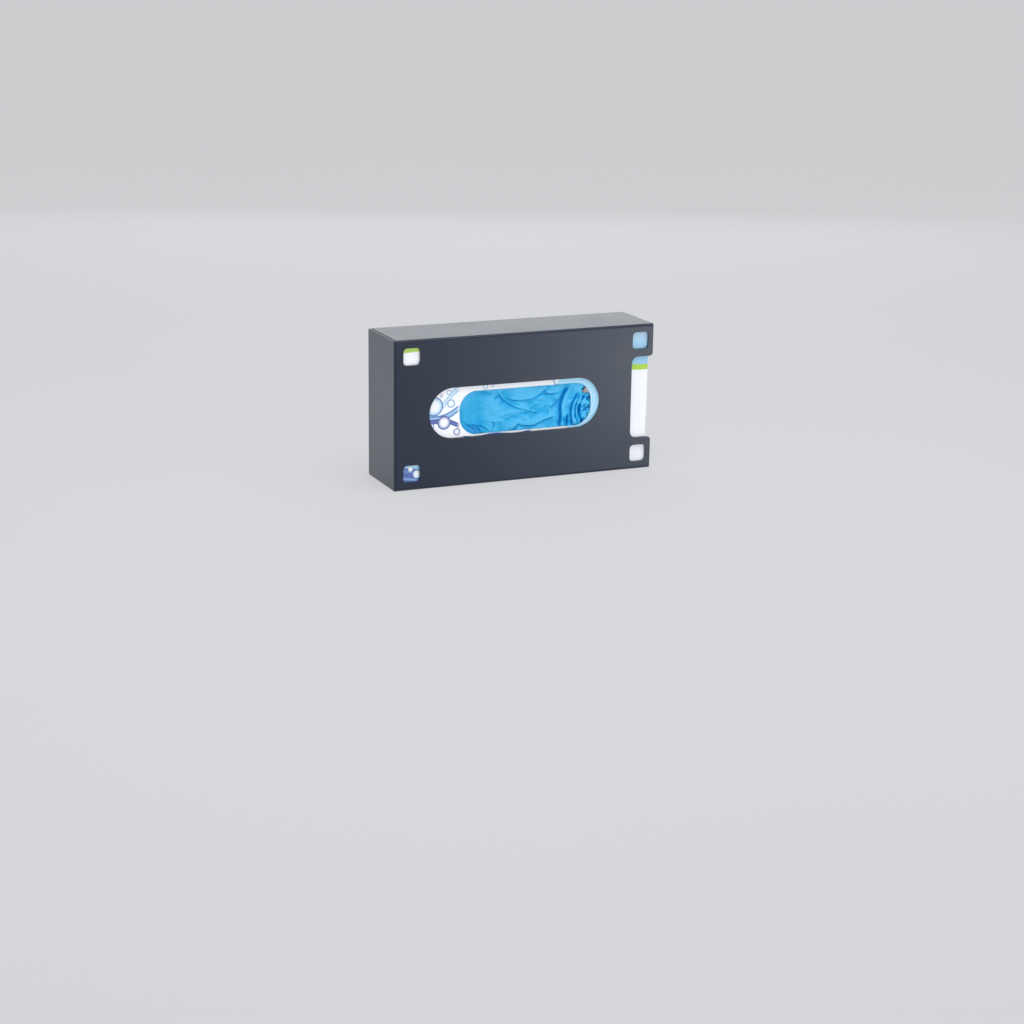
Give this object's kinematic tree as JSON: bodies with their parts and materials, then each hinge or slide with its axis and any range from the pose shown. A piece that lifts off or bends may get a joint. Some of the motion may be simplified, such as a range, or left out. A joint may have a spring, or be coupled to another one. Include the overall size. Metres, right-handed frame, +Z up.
{
  "type": "disposable glove dispenser",
  "caption": "Wall-hung folded steel holder with a long rounded dispensing slot, open at its right end, loaded with an opened card carton of folded nitrile gloves.",
  "frame": {"origin": "centre of the hook plate's back face, where the holder lies against the wall or panel", "axes": "+X to the holder's open end, on the right as seen from the front; +Y out of the back, into the wall; +Z up"},
  "size_m": [0.246, 0.071, 0.132],
  "materials": {
    "powder_coat": "fine satin anthracite powder coat",
    "rivet_metal": "plain set rivet",
    "printed_card": "white coated card with a plain blue and green print",
    "glove_film": "soft sky blue nitrile film"
  },
  "bodies": {
    "root": {"holder_shell": "powder_coat", "hook_plate": "powder_coat", "rivets": "rivet_metal", "carton": "printed_card", "top_glove": "glove_film", "next_glove": "glove_film", "glove_stack": "glove_film"}
  },
  "joints": []
}
